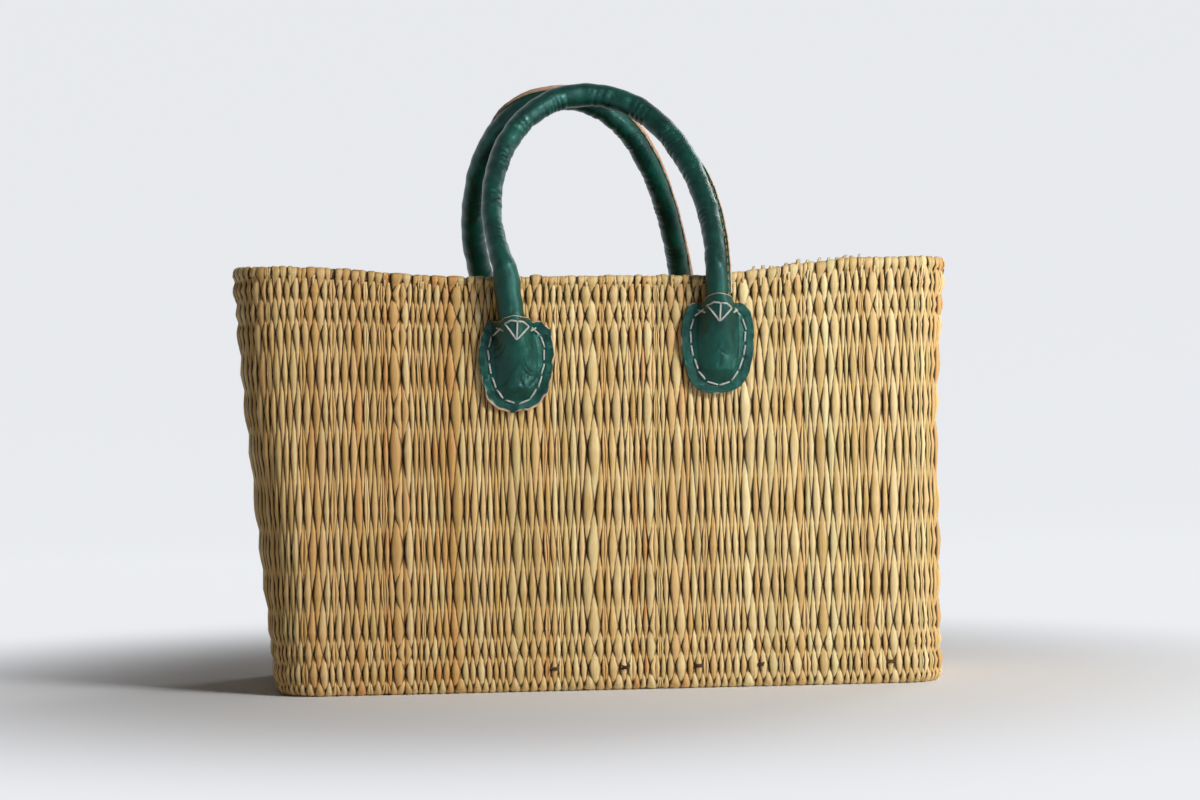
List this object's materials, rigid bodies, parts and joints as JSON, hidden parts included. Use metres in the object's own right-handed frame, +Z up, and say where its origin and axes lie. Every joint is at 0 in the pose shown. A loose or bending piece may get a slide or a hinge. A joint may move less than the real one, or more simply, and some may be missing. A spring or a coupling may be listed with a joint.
{
  "type": "woven tote bag",
  "caption": "Open rectangular shopping basket woven from rushes on cords, with arched rope-cored leather handles that swing outwards from stitched leather patches.",
  "frame": {"origin": "on the surface that the bag stands on, under the middle of the whole bag", "axes": "+X to the right as seen from the front, along the bag's length; front towards -Y; +Z up"},
  "size_m": [0.4606, 0.2154, 0.3926],
  "materials": {
    "rush": "dry woven rush, satin skin",
    "cord": "twisted palm cord, matt",
    "leather": "green dyed leather, glossy and wrinkled",
    "rope": "raw rope",
    "thread": "waxed cotton"
  },
  "bodies": {
    "basket": {"wall_weave": "rush", "base_weave": "rush", "rim_border": "rush", "wall_cord_1": "cord", "wall_cord_2": "cord", "wall_cord_3": "cord", "wall_cord_4": "cord", "wall_cord_5": "cord", "wall_cord_6": "cord", "wall_cord_7": "cord", "wall_cord_8": "cord", "wall_cord_9": "cord", "wall_cord_10": "cord", "wall_cord_11": "cord", "wall_cord_12": "cord", "rim_cord": "cord", "base_cord_1": "cord", "base_cord_2": "cord", "base_cord_3": "cord", "base_cord_4": "cord", "base_cord_5": "cord", "base_cord_6": "cord", "front_left_leg_cover": "leather", "front_left_leg_rope": "rope", "front_left_patch": "leather", "front_left_patch_thread": "thread", "front_right_leg_cover": "leather", "front_right_leg_rope": "rope", "front_right_patch": "leather", "front_right_patch_thread": "thread", "back_left_leg_cover": "leather", "back_left_leg_rope": "rope", "back_left_patch": "leather", "back_left_patch_thread": "thread", "back_right_leg_cover": "leather", "back_right_leg_rope": "rope", "back_right_patch": "leather", "back_right_patch_thread": "thread"},
    "front_handle": {"front_handle_cover": "leather", "front_handle_rope": "rope"},
    "back_handle": {"back_handle_cover": "leather", "back_handle_rope": "rope"}
  },
  "joints": [
    {"name": "front_handle_swing", "type": "hinge", "parent": "basket", "child": "front_handle", "pos_m": [0, -0.0973, 0.266], "axis": [1, 0, 0], "range_deg": [0, 125]},
    {"name": "back_handle_swing", "type": "hinge", "parent": "basket", "child": "back_handle", "pos_m": [0, 0.0973, 0.266], "axis": [-1, 0, 0], "range_deg": [0, 125]}
  ]
}
